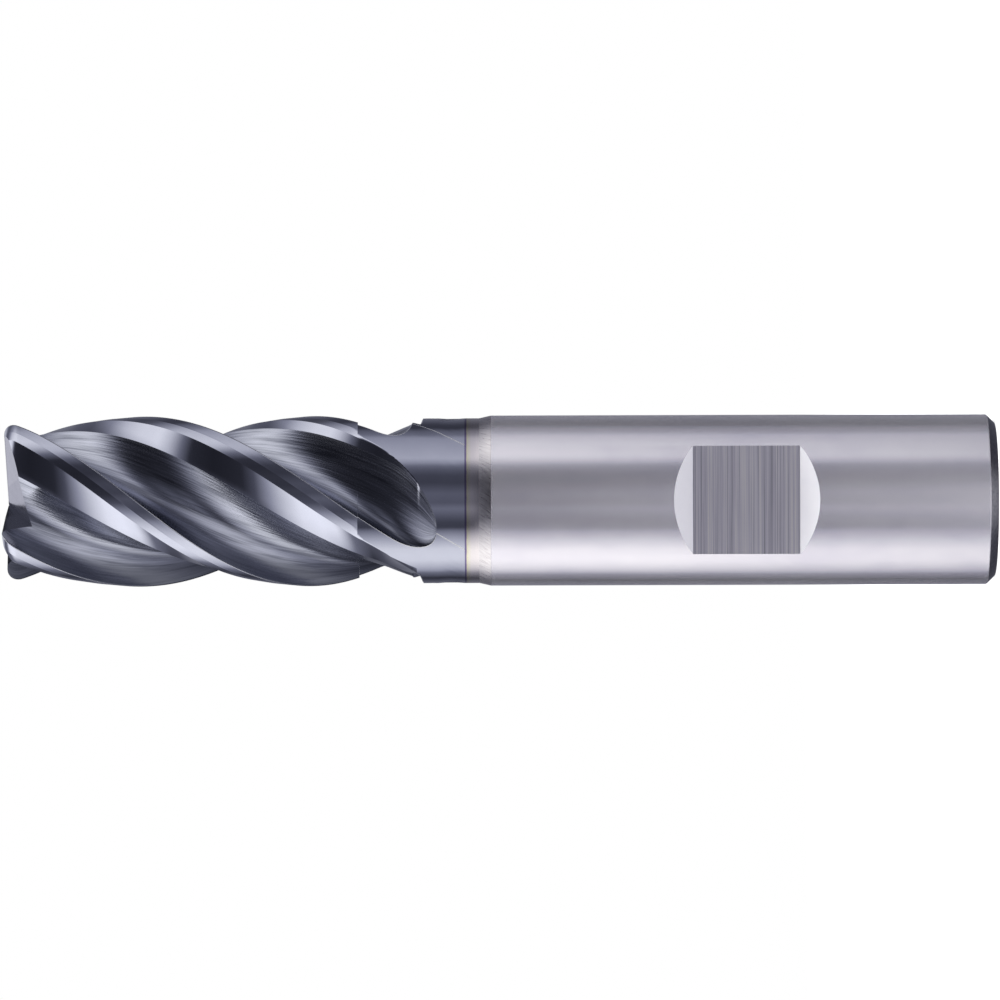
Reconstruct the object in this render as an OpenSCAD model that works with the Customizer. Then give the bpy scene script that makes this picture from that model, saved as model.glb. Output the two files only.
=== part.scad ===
// Solid carbide end mill: four variable-helix teeth with corner radii, a slim
// coated neck and a straight shank with one clamping flat.
// Millimetres. The tool stands on the end of its shank: Z is the tool axis,
// Z = 0 is the shank end and the cutting end is up. The clamping flat faces -Y.

/* [Overall] */
// Tip to shank end
overall_length = 93; // [60:0.5:130]
// Diameter over the cutting edges
cutting_diameter = 16; // [6:0.1:25]
// Diameter of the straight shank
shank_diameter = 16; // [6:0.1:25]

/* [Cutting teeth] */
// Length of the full-diameter lands, from the tip
land_length = 33.2; // [15:0.1:60]
// Angle of each cutting edge where it leaves the tip, from -Y towards -X
edge_start = [-70.9, 25.8, 107.2, 204.3];
// Helix angle of each cutting edge
helix_angle = [38, 35, 38, 35];
// Angular width of the flute behind each tooth at the tip
flute_angle = [55.5, 54, 55.5, 54];
// Growth of that width for each millimetre away from the tip
flute_growth = [0, 0.33, 0, 0.33];
// Radius of the web left between the flutes
web_radius = 4.6; // [3:0.05:7]
// Angle from the edge to the end of the first relief
first_relief_angle = 8.6; // [4:0.1:12]
// Drop of the surface over the first relief
first_relief_drop = 0.15; // [0.05:0.01:0.4]
// Angle from the edge to the end of the second relief
second_relief_angle = 16; // [12:0.1:18]
// Drop of the surface at the end of the second relief
second_relief_drop = 0.37; // [0.2:0.01:0.7]
// Clearance of the flat heel facet behind the second relief
heel_clearance = 34; // [15:1:45]
// Rake of the flute face under the cutting edge
rake_angle = 8; // [0:1:15]

/* [Cutting end] */
// Radius at the outer corner of each tooth
corner_radius = 1.4; // [0.2:0.05:3]
// Depth of the piece that carries the end teeth
end_depth = 3.4; // [2.5:0.1:6]
// Hollow of the end edges towards the centre
dish_angle = 2.3; // [0:0.1:5]
// Relief behind each end edge
end_relief = 8; // [3:0.5:15]
// Steeper relief further behind each end edge
end_back_relief = 20; // [12:0.5:30]
// Width of the first relief behind each end edge
end_land_width = 1.3; // [0.5:0.1:3]
// Slope of the gash floor from the centre outwards
gash_slope = 27; // [15:1:45]
// Opening of each gash
gash_opening = 68; // [40:1:80]

/* [Neck] */
// Diameter of the neck behind the lands
neck_diameter = 15.5; // [10:0.1:24]
// Distance from the tip at which the flutes start to rise
flute_rise_start = 25; // [10:0.1:50]
// Distance from the tip at which the flutes are gone
flute_end = 40.6; // [20:0.1:80]
// How much sooner than that the flute behind each tooth is gone
flute_end_early = [0, 2.3, 0, 2.3];
// Length of the rounded end of each flute
flute_end_length = [4.2, 3.4, 4.2, 3.4];
// Distance from the tip at which the heel facets start to run out
heel_run_start = 34.5; // [20:0.1:60]
// How fast they run out towards the neck surface
heel_run_rate = 0.034; // [0:0.001:0.2]
// Distance from the tip at which the heel facets are gone
heel_end = 39.3; // [20:0.1:80]
// Distance from the tip to the edge of the coating
coating_end = 43.2; // [25:0.1:90]
// Distance from the tip to the bevel in front of the shank
bevel_start = 44.55; // [25:0.1:90]
// Distance from the tip to the full-diameter shank
shank_start = 45.65; // [25:0.1:90]

/* [Shank] */
// Chamfer at the shank end
end_chamfer = 0.8; // [0:0.05:2]
// Distance of the clamping flat from the shank axis
flat_height = 6.2; // [4:0.05:12]
// Length of the clamping flat along the axis
flat_length = 10; // [5:0.1:20]
// Middle of the clamping flat above the shank end
flat_middle = 23.5; // [15:0.1:60]
// Angle of the ramps at both ends of the flat
flat_ramp = 45; // [30:1:90]

/* [Colours] */
// Coated cutting end
coating_color = [0.30, 0.31, 0.38];
// Web between the flutes
web_color = [0.24, 0.25, 0.31];
// Bare ground carbide
carbide_color = [0.74, 0.72, 0.73];

/* [Hidden] */
cut_r = cutting_diameter / 2;
shank_r = shank_diameter / 2;
neck_r = neck_diameter / 2;
side_turn = 360 / (PI * cutting_diameter);
flat_top = flat_middle + flat_length / 2;
flat_bottom = flat_middle - flat_length / 2;
tooth_count = 4;
body_rings = 48;
neck_rings = 20;
$fn = 96;

// Point of a cross-section from its radius and its angle (from -Y towards -X)
function spot(r, a) = [-r * sin(a), -r * cos(a)];
function lerp(p, q, t) = p + (q - p) * t;
function curve(p0, p1, p2, p3, t) =
    pow(1 - t, 3) * p0 + 3 * pow(1 - t, 2) * t * p1 + 3 * (1 - t) * t * t * p2 + t * t * t * p3;

// Angles of tooth i at depth s below the tip; tooth 4 is tooth 0 one turn on
function edge_at(i, s) = edge_start[i % 4] + 360 * floor(i / 4) + tan(helix_angle[i % 4]) * side_turn * s;
function flute_at(i, s) = flute_angle[i % 4] + flute_growth[i % 4] * s;
function middle_at(i, s) = edge_at(i + 1, s) - flute_at(i, s) / 2;

// Outer radius of the ground blank, and half the width of flute i on it
function blank_at(s) =
    s < corner_radius ? cut_r - corner_radius + sqrt(pow(corner_radius, 2) - pow(corner_radius - s, 2))
    : s <= land_length ? cut_r : neck_r;
function end_at(i) = flute_end - flute_end_early[i % 4];
function closing(i, s) = min(1, max(0, 1 - (end_at(i) - s) / flute_end_length[i % 4]));
function open_at(i, s) = sqrt(1 - pow(closing(i, s), 2));
function half_at(i, s) = max(3, flute_at(i, s) / 2 * open_at(i, s));
function rise(s) = min(1, max(0, s - flute_rise_start) / (flute_end - flute_rise_start));
function floor_at(i, s) = neck_r - (neck_r - web_radius) * (1 - pow(rise(s), 2)) * open_at(i, s);

// Radius of the tooth surface at an angle b behind its edge
facet_r = cut_r - second_relief_drop;
function heel_r(b) = facet_r * cos(heel_clearance) / cos(b - second_relief_angle - heel_clearance);
function relief_r(b) =
    b < first_relief_angle ? cut_r - first_relief_drop * b / first_relief_angle
    : b <= second_relief_angle ? cut_r - first_relief_drop
      - (second_relief_drop - first_relief_drop) * (b - first_relief_angle)
        / (second_relief_angle - first_relief_angle)
    : heel_r(b);
function heel_run(s) =
    heel_run_rate * pow(max(0, s - heel_run_start), 2) + 3 * pow(max(0, s - heel_end + 0.5), 2);
function land_r(b, s) =
    s <= land_length ? relief_r(b) - cut_r + blank_at(s)
    : b <= second_relief_angle ? neck_r
    : min(neck_r, heel_r(b) + heel_run(s));

// Flute i at depth s: from the heel of tooth i down to the web, then up the rake face
function heel_spot(i, s) = let (a = middle_at(i, s) - half_at(i, s))
    spot(land_r(a - edge_at(i, s), s), a);
function floor_spot(i, s) = spot(floor_at(i, s), middle_at(i, s) + 0.2 * half_at(i, s));
function rake_spot(i, s) = spot(s <= land_length ? blank_at(s) : neck_r, middle_at(i, s) + half_at(i, s));
function down_curve(i, s, t) = let (m = middle_at(i, s), h = half_at(i, s), f = floor_at(i, s),
                                    r = norm(heel_spot(i, s)))
    curve(heel_spot(i, s), spot(r + (f - r) * 0.5, m - 0.72 * h),
          spot(f / cos(0.45 * h), m - 0.25 * h), floor_spot(i, s), t);
function up_curve(i, s, t) = let (m = middle_at(i, s), h = half_at(i, s), f = floor_at(i, s),
                                  e = rake_spot(i, s), d = 0.65 * (norm(e) - f), a = m + h)
    curve(floor_spot(i, s), spot(f / cos(0.45 * h), m + 0.65 * h),
          e - d * cos(rake_angle) * spot(1, a) + d * sin(rake_angle) * spot(1, a + 90), e, t);

// Outline of tooth i from its root on the rake side round to its root on the heel side
function land_spots(i, s) = let (from = middle_at(i + 3, s) + half_at(i + 3, s) - 360 - edge_at(i, s),
                                 heel = middle_at(i, s) - half_at(i, s) - edge_at(i, s),
                                 one = first_relief_angle, two = second_relief_angle)
    [for (b = [from + (one - from) / 2, one, (one + two) / 2, two,
               for (k = [1 : 4]) two + 0.01 + (heel - two - 0.01) * k / 5])
        spot(land_r(b, s), edge_at(i, s) + b)];
function tooth_side(i, s) =
    [for (t = [0.4, 0.6, 0.8, 1]) up_curve(i + 3, s, t), each land_spots(i, s),
     for (t = [0, 0.2, 0.4, 0.55]) down_curve(i, s, t)];
function flute_floor(i, s) =
    [for (t = [0.7, 0.85, 1]) down_curve(i, s, t), up_curve(i, s, 0.2)];
function root_middle(i, s) = let (p = tooth_side(i, s)) (p[0] + p[len(p) - 1]) / 2;

// Rings of points, one for each depth
function lifted(points, s) = [for (p = points) [p[0], p[1], overall_length - s]];
function tooth_ring(i, s) = lifted([each tooth_side(i, s), root_middle(i, s)], s);
function web_ring(s) = lifted([for (i = [0 : 3]) let (p = tooth_side(i, s))
    each [p[0], root_middle(i, s), p[len(p) - 1], each flute_floor(i, s)]], s);
function whole_ring(s) = lifted([for (i = [0 : 3]) each [each tooth_side(i, s), each flute_floor(i, s)]], s);
function spread(first, last, count) = [for (k = [0 : count]) first + (last - first) * k / count];

// Triangles between n-point rings; from point `turned` on the other diagonal is used
function wall(n, rings, turned) = [for (j = [0 : rings - 2], k = [0 : n - 1])
    let (a = j * n + k, b = j * n + (k + 1) % n, c = a + n, d = b + n)
    each (k < turned ? [[a, d, b], [a, c, d]] : [[a, c, b], [b, c, d]])];
function fan(hub, loop) = [for (k = [0 : len(loop) - 2]) [hub, loop[k], loop[k + 1]]];
function flipped(faces) = [for (f = faces) [f[2], f[1], f[0]]];

tooth_size = len(tooth_side(0, 10));
floor_size = len(flute_floor(0, 10));
step = tooth_size + floor_size;

// Closed body through whole cross-sections
module whole_body(depths) {
    count = len(depths);
    size = tooth_count * step;
    last = depths[count - 1];
    hubs = [for (s = [depths[0], last]) each [for (i = [0 : 3]) root_middle(i, s)]];
    points = [for (s = depths) each whole_ring(s),
              for (i = [0 : 3]) [each root_middle(i, depths[0]), overall_length - depths[0]],
              [0, 0, overall_length - depths[0]],
              for (i = [0 : 3]) [each root_middle(i, last), overall_length - last],
              [0, 0, overall_length - last]];
    polyhedron(points, [each wall(size, count, size),
                        each end_cap(0, count * size),
                        each flipped(end_cap((count - 1) * size, count * size + 5))]);
}
function end_cap(base, hub) = [for (i = [0 : 3]) let (first = base + i * step, last = first + tooth_size - 1,
                                                     next = base + (i + 1) % 4 * step)
    each [each fan(hub + i, [for (k = [first : last]) k]),
          [hub + 4, first, hub + i], [hub + 4, hub + i, last],
          each fan(hub + 4, [for (k = [last : last + floor_size]) k, next])]];

// Closed body of one helical tooth between the end teeth and the neck
module tooth_body(i) {
    depths = spread(end_depth, land_length, body_rings);
    n = tooth_size + 1;
    last = body_rings * n;
    hub = n - 1;
    polyhedron([for (s = depths) each tooth_ring(i, s)],
               [each wall(n, body_rings + 1, n - 2),
                each fan(hub, [for (k = [0 : n - 2]) k]),
                each flipped(fan(last + hub, [for (k = [0 : n - 2]) last + k]))]);
}

module web_body() {
    depths = spread(end_depth, land_length, body_rings);
    n = 4 * (3 + floor_size);
    last = body_rings * n;
    hub = (body_rings + 1) * n;
    points = [for (s = depths) each web_ring(s), [0, 0, overall_length - end_depth],
              [0, 0, overall_length - land_length]];
    polyhedron(points,
               [each wall(n, body_rings + 1, n),
                each fan(hub, [for (k = [0 : n - 1]) k, 0]),
                each flipped(fan(hub + 1, [for (k = [0 : n - 1]) last + k, last]))]);
}

// Space above the end relief that slopes back from a line `back` behind end edge i
module relief_space(i, slope, back) {
    from = edge_start[i] - 3;
    to = edge_start[(i + 1) % 4] + (i == 3 ? 360 : 0) - 2;
    intersection() {
        translate([0, 0, overall_length - 3])
            linear_extrude(height = 6)
                polygon([spot(-0.3 - 0.02 * i, (from + to) / 2),
                         for (k = [0 : 3]) spot(14, from + (to - from) * k / 3)]);
        rotate([0, 0, -90 - edge_start[i]])
            translate([cut_r - corner_radius, -back, overall_length - back * tan(end_relief)])
                rotate([slope, -dish_angle, 0])
                    translate([-15, -20, 0])
                        cube([30, 40, 8]);
    }
}

// Gash in front of end edge i: one wall under the edge, one sloping wall facing it
module gash(i) {
    out = 11;
    low = 0.35 + out * tan(gash_slope);
    wide = tan(gash_opening);
    rotate([0, 0, -90 - edge_start[i]])
        translate([0, 0, overall_length])
            polyhedron([[0.25, 0, -0.35], [out, -low * 0.08, -low],
                        [0.25, 0.1, 2], [out, 0.1, 2],
                        [0.25, 2.35 * wide, 2], [out, (low + 2) * wide, 2]],
                       [[0, 4, 2], [1, 3, 5], [0, 3, 1], [0, 2, 3], [2, 5, 3], [2, 4, 5],
                        [0, 5, 4], [0, 1, 5]]);
}

// The end piece is brought to its full depth again after the cuts
module end_teeth() {
    corner = [for (a = [0 : 15 : 90]) corner_radius * (1 - cos(a))];
    base = overall_length - end_depth;
    color(coating_color)
        translate([0, 0, base])
            resize([0, 0, end_depth])
                translate([0, 0, -base])
                    difference() {
                        whole_body([each corner, each spread(corner_radius + 0.5, end_depth, 3)]);
                        for (i = [0 : 3]) relief_space(i, end_relief, 0);
                        for (i = [0 : 3]) relief_space(i, end_back_relief, end_land_width);
                        for (i = [0 : 3]) gash(i);
                    }
}

module tooth_1() { color(coating_color) tooth_body(0); }
module tooth_2() { color(coating_color) tooth_body(1); }
module tooth_3() { color(coating_color) tooth_body(2); }
module tooth_4() { color(coating_color) tooth_body(3); }

module cutting_web() { color(web_color) web_body(); }

module fluted_neck() {
    depths = [each spread(land_length + 0.001, heel_end - 0.5, neck_rings - 10),
              each spread(heel_end - 0.35, flute_end, 10), flute_end + 0.4, coating_end];
    color(coating_color) whole_body(depths);
}

module neck_band() {
    color(carbide_color)
        rotate_extrude()
            polygon([[0, overall_length - shank_start], [shank_r, overall_length - shank_start],
                     [neck_r, overall_length - bevel_start], [neck_r, overall_length - coating_end],
                     [0, overall_length - coating_end]]);
}

// Space above the clamping flat and its two ramps
module flat_cut() {
    reach = (shank_r + 2 - flat_height) / tan(flat_ramp);
    rotate([90, 0, -90])
        linear_extrude(height = 2 * shank_r + 4, center = true)
            polygon([[flat_height, flat_bottom], [flat_height, flat_top],
                     [shank_r + 2, flat_top + reach], [shank_r + 2, flat_bottom - reach]]);
}

// The shank is divided at the two ends of the flat
module shank_front() {
    color(carbide_color)
        difference() {
            rotate_extrude()
                polygon([[0, flat_top], [shank_r, flat_top], [shank_r, overall_length - shank_start],
                         [0, overall_length - shank_start]]);
            flat_cut();
        }
}

module clamping_section() {
    color(carbide_color)
        difference() {
            rotate_extrude()
                polygon([[0, flat_bottom], [shank_r, flat_bottom], [shank_r, flat_top], [0, flat_top]]);
            flat_cut();
        }
}

module shank_base() {
    color(carbide_color)
        difference() {
            rotate_extrude()
                polygon([[0, 0], [shank_r - end_chamfer, 0], [shank_r, end_chamfer],
                         [shank_r, flat_bottom], [0, flat_bottom]]);
            flat_cut();
        }
}

end_teeth();
tooth_1();
tooth_2();
tooth_3();
tooth_4();
cutting_web();
fluted_neck();
neck_band();
shank_front();
clamping_section();
shank_base();
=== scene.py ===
"""Looks of a solid carbide end mill: a coated head with four helical teeth, a bare band and a
straight shank with one clamping flat, standing on the end of its shank under soft studio light.

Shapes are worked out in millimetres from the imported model's boxes and turned to metres when a
mesh is made. s is the distance below the tip, a the angle about the axis from -Y towards -X.
"""
import math

import bmesh
import bpy
import numpy as np
from mathutils import Matrix, Vector


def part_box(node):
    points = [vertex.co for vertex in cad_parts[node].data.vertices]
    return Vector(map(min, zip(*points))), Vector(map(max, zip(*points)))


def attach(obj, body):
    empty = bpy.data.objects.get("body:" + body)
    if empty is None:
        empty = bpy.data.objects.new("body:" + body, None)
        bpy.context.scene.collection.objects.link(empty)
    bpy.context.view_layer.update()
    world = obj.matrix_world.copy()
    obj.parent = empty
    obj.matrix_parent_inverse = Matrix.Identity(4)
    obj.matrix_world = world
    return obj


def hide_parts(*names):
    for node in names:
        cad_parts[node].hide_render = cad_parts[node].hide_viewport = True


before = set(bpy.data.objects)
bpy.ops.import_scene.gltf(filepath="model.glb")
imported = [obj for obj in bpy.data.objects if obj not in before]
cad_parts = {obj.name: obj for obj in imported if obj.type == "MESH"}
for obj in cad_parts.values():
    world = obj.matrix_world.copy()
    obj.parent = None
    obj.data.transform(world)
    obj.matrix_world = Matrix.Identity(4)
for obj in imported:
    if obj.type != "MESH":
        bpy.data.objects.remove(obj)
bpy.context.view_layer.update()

MM = 0.001
TEETH = 4

# ------------------------------------------------------------------ sizes, in millimetres


def cad_box(node):
    """Lowest and highest corners of a CAD node, in millimetres."""
    low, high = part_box(node)
    return [v / MM for v in low], [v / MM for v in high]


TIP_Z = cad_box("end_teeth")[1][2]
END_DEPTH = TIP_Z - cad_box("end_teeth")[0][2]
LAND_LENGTH = TIP_Z - cad_box("tooth_1")[0][2]
COATING_END = TIP_Z - cad_box("fluted_neck")[0][2]
SHANK_TOP = cad_box("shank_front")[1][2]
SHANK_R = cad_box("shank_base")[1][0]
CUT_R = SHANK_R
NECK_RELIEF = 0.25
NECK_R = SHANK_R - NECK_RELIEF

# Each tooth: angle of its cutting edge at the tip, its helix, the angular width of the flute
# behind it at the tip, and the growth of that width for each millimetre away from the tip
EDGE_START = [-70.9, 25.8, 107.2, 204.3]
HELIX = [38, 35, 38, 35]
FLUTE_ANGLE = [55.5, 54, 55.5, 54]
FLUTE_GROWTH = [0, 0.33, 0, 0.33]
WEB_R = 4.6
# The two reliefs of a land: how far behind the edge each ends, in degrees, and its drop there
FIRST_ANGLE, FIRST_DROP = 8.6, 0.15
SECOND_ANGLE, SECOND_DROP = 16.0, 0.37
HEEL_CLEARANCE = 34
RAKE = 8
CORNER_R = 1.4
# The cutting end: hollow of the end edges, their two reliefs, and the width of the first one
DISH, END_RELIEF, END_BACK_RELIEF, END_LAND = 2.3, 8, 20, 1.3
# Slope of a gash's floor, and its opening, which is wider than in the CAD solid
GASH_SLOPE, GASH_OPENING = 27, 79
# Depths at which the flutes' floors, the lands and the heels start to run out, and are gone
RISE_START = 25
FLUTE_END, FLUTE_END_LENGTH = [40.6, 38.3, 40.6, 38.3], [4.2, 3.4, 4.2, 3.4]
RUN_OUT_START, RUN_OUT_RATE = 32.4, 0.04
HEEL_RUN_START, HEEL_RUN_RATE, HEEL_END = 34.5, 0.034, 39.3
BEVEL_START = 44.55
COATING_Z, BEVEL_Z = TIP_Z - COATING_END, TIP_Z - BEVEL_START
CHAMFER = 0.8
FLAT_HEIGHT, FLAT_LENGTH, FLAT_MIDDLE, FLAT_RAMP = 6.2, 10, 23.5, 45
# Degrees of turn for each millimetre around the cutting diameter
SIDE_TURN = 360 / (math.pi * 2 * CUT_R)

# Kinds of face on the head, which are also its material slots
FLUTE, LAND, STEP, INNER, END = range(5)


# ------------------------------------------------------------------ cross-section of the head

# A flute is never narrower than this on each side of its middle, in degrees
MIN_FLUTE_HALF = 3
# The first relief's plane goes on to this many times its own width
FIRST_REACH = 1.6
MAX_TILT = 60
# A steeper run-out over the last stretch of the heel facet
HEEL_LIFT, HEEL_LIFT_LENGTH = 3, 0.5
# Handles of the two curves of a flute, as parts of its half width, its depth and its rake face
FLOOR_SHIFT, ROOT_SPREAD = 0.2, 0.45
DOWN_DEPTH, DOWN_START, DOWN_END = 0.5, 0.72, 0.25
UP_START, UP_REACH = 0.65, 0.65


def spot(r, a):
    """Points of a cross-section from radii and angles in degrees."""
    a = np.radians(a)
    return np.stack([-r * np.sin(a), -r * np.cos(a)], -1)


def edge_at(i, s):
    """Angle of cutting edge i at depth s. Edge i + TEETH is the same edge, a turn further."""
    helix = math.tan(math.radians(HELIX[i % TEETH]))
    return EDGE_START[i % TEETH] + 360 * (i // TEETH) + helix * SIDE_TURN * s


def flute_width(i, s):
    return FLUTE_ANGLE[i % TEETH] + FLUTE_GROWTH[i % TEETH] * s


def flute_middle(i, s):
    """Angle of the middle of flute i, which ends at cutting edge i + 1."""
    return edge_at(i + 1, s) - flute_width(i, s) / 2


def flute_open(i, s):
    """One where the flute is at full width, falling to nothing along its rounded end."""
    left = (FLUTE_END[i % TEETH] - s) / FLUTE_END_LENGTH[i % TEETH]
    closing = min(1, max(0, 1 - left))
    return math.sqrt(1 - closing**2)


def flute_half(i, s):
    return max(MIN_FLUTE_HALF, flute_width(i, s) / 2 * flute_open(i, s))


def flute_floor(i, s):
    """Radius of the floor of flute i, from the web up to the neck."""
    rise = min(1, max(0, s - RISE_START) / (FLUTE_END[0] - RISE_START))
    return NECK_R - (NECK_R - WEB_R) * (1 - rise**2) * flute_open(i, s)


def blank_r(s):
    """Radius of the ground blank, with the corner radius at the tip."""
    if s < CORNER_R:
        return CUT_R - CORNER_R + math.sqrt(max(0, CORNER_R**2 - (CORNER_R - s) ** 2))
    return CUT_R if s <= LAND_LENGTH else NECK_R


def land_r(b, s):
    """Radius of a tooth at angles b behind its edge: two reliefs and the flat heel facet."""
    first = CUT_R - FIRST_DROP * np.minimum(b / FIRST_ANGLE, FIRST_REACH)
    fall = (SECOND_DROP - FIRST_DROP) / (SECOND_ANGLE - FIRST_ANGLE)
    run_out = RUN_OUT_RATE * max(0, s - RUN_OUT_START) ** 2
    second = CUT_R - FIRST_DROP - fall * (np.minimum(b, SECOND_ANGLE) - FIRST_ANGLE) + run_out
    tilt = np.radians(np.clip(b - SECOND_ANGLE - HEEL_CLEARANCE, -MAX_TILT, MAX_TILT))
    heel = (CUT_R - SECOND_DROP) * math.cos(math.radians(HEEL_CLEARANCE)) / np.cos(tilt)
    heel += (HEEL_RUN_RATE * max(0, s - HEEL_RUN_START) ** 2
             + HEEL_LIFT * max(0, s - HEEL_END + HEEL_LIFT_LENGTH) ** 2)
    r = np.minimum(first, second)
    r = np.where(b > FIRST_ANGLE, np.minimum(r, heel), r)
    if s <= LAND_LENGTH:
        return r - CUT_R + blank_r(s)
    return np.minimum(r, NECK_R)


def bezier(p0, p1, p2, p3, t):
    t = np.asarray(t)[:, None]
    return (1 - t) ** 3 * p0 + 3 * (1 - t) ** 2 * t * p1 + 3 * (1 - t) * t * t * p2 + t**3 * p3


def floor_spot(i, s):
    """Deepest point of flute i, a little nearer to the rake face than to the heel."""
    return spot(flute_floor(i, s), flute_middle(i, s) + FLOOR_SHIFT * flute_half(i, s))


def down_curve(i, s, t):
    """Flute i from the heel of tooth i to the web."""
    m, h, f = flute_middle(i, s), flute_half(i, s), flute_floor(i, s)
    heel_b = np.array([m - h - edge_at(i, s)])
    r = float(land_r(heel_b, s)[0])
    return bezier(
        spot(r, m - h),
        spot(r + (f - r) * DOWN_DEPTH, m - DOWN_START * h),
        spot(f / math.cos(math.radians(ROOT_SPREAD * h)), m - DOWN_END * h),
        floor_spot(i, s),
        t,
    )


def up_curve(i, s, t):
    """Flute i from the web up the rake face to the next cutting edge."""
    m, h, f = flute_middle(i, s), flute_half(i, s), flute_floor(i, s)
    edge_r = blank_r(s)
    edge = spot(edge_r, m + h)
    reach = UP_REACH * (edge_r - f)
    lean = math.radians(RAKE)
    inward = reach * math.cos(lean) * spot(1, m + h)
    sideways = reach * math.sin(lean) * spot(1, m + h + 90)
    root = spot(f / math.cos(math.radians(ROOT_SPREAD * h)), m + UP_START * h)
    return bezier(floor_spot(i, s), root, edge - inward + sideways, edge, t)


# Parameters along the curves of a tooth and of the web, which meet at ROOT_UP and ROOT_DOWN
ROOT_UP, ROOT_DOWN = 0.4, 0.55
RAKE_STEPS, HEEL_STEPS, WEB_DOWN_STEPS, WEB_UP_STEPS = 8, 9, 8, 6
# The rake face ends in one short stretch and the land starts with one, EDGE_HONE degrees wide.
# They share a normal at the cutting edge, which is shaded as slightly rounded.
RAKE_LAST = 0.98
EDGE_HONE = 0.9
RAKE_T = np.append(np.linspace(ROOT_UP, RAKE_LAST, RAKE_STEPS + 1), 1)
HEEL_T = np.linspace(0, ROOT_DOWN, HEEL_STEPS + 1)
WEB_T = np.concatenate([np.linspace(ROOT_DOWN, 1, WEB_DOWN_STEPS + 1),
                        1 + np.linspace(0, ROOT_UP, WEB_UP_STEPS + 1)[1:]])
# Steps over the first relief, the second relief and the heel facet
LAND_STEPS = (5, 8, 9)


def tooth_outline(i, s):
    """Tooth i from its root on the rake side, over the land, to its root on the heel side."""
    rake = up_curve(i + 3, s, RAKE_T)
    edge = edge_at(i, s)
    start = flute_middle(i + 3, s) + flute_half(i + 3, s) - 360 - edge
    heel = flute_middle(i, s) - flute_half(i, s) - edge
    stops = [start, FIRST_ANGLE, SECOND_ANGLE, heel]
    land = [np.linspace(stops[k], stops[k + 1], LAND_STEPS[k] + 1)[1:] for k in range(3)]
    b = np.concatenate(land)
    b[0] = start + EDGE_HONE
    return np.concatenate([rake, spot(land_r(b, s), edge + b), down_curve(i, s, HEEL_T[1:])])


def web_outline(i, s):
    """Floor of flute i between the roots of teeth i and i + 1."""
    down = down_curve(i, s, WEB_T[WEB_T <= 1])
    up = up_curve(i, s, WEB_T[WEB_T > 1] - 1)
    return np.concatenate([down, up])


# Columns of each stretch, and those where two ground faces meet at a sharp corner
N_RAKE = len(RAKE_T) - 1
N_LAND = sum(LAND_STEPS)
N_TOOTH = N_RAKE + N_LAND + len(HEEL_T) - 1
N_WEB = len(WEB_T) - 1
N_COLUMNS = TEETH * (N_TOOTH + N_WEB)
CREASES = [N_RAKE + LAND_STEPS[0], N_RAKE + sum(LAND_STEPS[:2]), N_RAKE + N_LAND]


def ring(s):
    """The whole cross-section at depth s as N_COLUMNS points."""
    spots = []
    for i in range(TEETH):
        spots += [tooth_outline(i, s)[:-1], web_outline(i, s)[:-1]]
    flat = np.concatenate(spots)
    return np.column_stack([flat, np.full(len(flat), TIP_Z - s)])


def root_middle(i, s):
    """The point inside a tooth where its two roots and the web meet."""
    outline = tooth_outline(i, s)
    flat = (outline[0] + outline[-1]) / 2
    return np.array([flat[0], flat[1], TIP_Z - s])


def column_kinds():
    """Kind of face after each column."""
    one = [FLUTE] * N_RAKE + [LAND] * N_LAND + [FLUTE] * (N_TOOTH - N_RAKE - N_LAND + N_WEB)
    return one * TEETH


# Where along the rake face its painted shade starts, and how soon it is complete
RAKE_DARK_START, RAKE_DARK_SPAN = 0.5, 0.25


def rake_shade(column):
    """How much painted shade a column of the rake face has: all at the edge, none elsewhere. On the
    land's first strip the same value, fading from the edge, paints a highlight.
    """
    k = column % (N_TOOTH + N_WEB)
    if k > N_RAKE:
        return 0.0
    return float(np.clip((RAKE_T[k] - RAKE_DARK_START) / RAKE_DARK_SPAN, 0, 1))


def is_crease(column):
    return column % (N_TOOTH + N_WEB) in CREASES


# ------------------------------------------------------------------ the ground surface of the head

# Distance between the two rings of the step at the lands' end, and the least that shows as one
STEP_RISE, MIN_STEP = 0.012, 0.01
ROUND_TOLERANCE = 0.002
# Turn between rings over the corner radius, in degrees, then their pitch from stop to stop
CORNER_TURN = 6
RING_PITCHES = [0.2, 0.3, 0.1, 0.13, 0.1]
# Extra rings where a flute closes: from the first to the last of these steps of its quarter turn
FIRST_END_RING, LAST_END_RING = 14, 26
PAST_FLUTES = 0.1


def depths():
    """Depths of all rings. Two of them, STEP_RISE apart, make the step where the lands end."""
    corner = [CORNER_R * (1 - math.cos(math.radians(a))) for a in range(0, 90, CORNER_TURN)]
    stops = [CORNER_R, END_DEPTH, RUN_OUT_START, LAND_LENGTH,
             FLUTE_END[1] - FLUTE_END_LENGTH[1], FLUTE_END[0]]
    rings = corner + [stops[-1]]
    for first, last, pitch in zip(stops, stops[1:], RING_PITCHES):
        rings += list(np.linspace(first, last, round((last - first) / pitch), endpoint=False))
    for end, length in zip(FLUTE_END[:2], FLUTE_END_LENGTH):
        for k in range(FIRST_END_RING, LAST_END_RING + 1):
            rings.append(end - length * (1 - math.sin(math.radians(90 * k / LAST_END_RING))))
    rings = [s for s in sorted(rings) if abs(s - LAND_LENGTH) > 2 * STEP_RISE]
    spaced = rings[:1]
    for s in rings[1:]:
        if s - spaced[-1] > STEP_RISE:
            spaced.append(s)
    spaced += [LAND_LENGTH, LAND_LENGTH + STEP_RISE, FLUTE_END[0] + PAST_FLUTES, COATING_END]
    return np.array(sorted(spaced))


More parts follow.
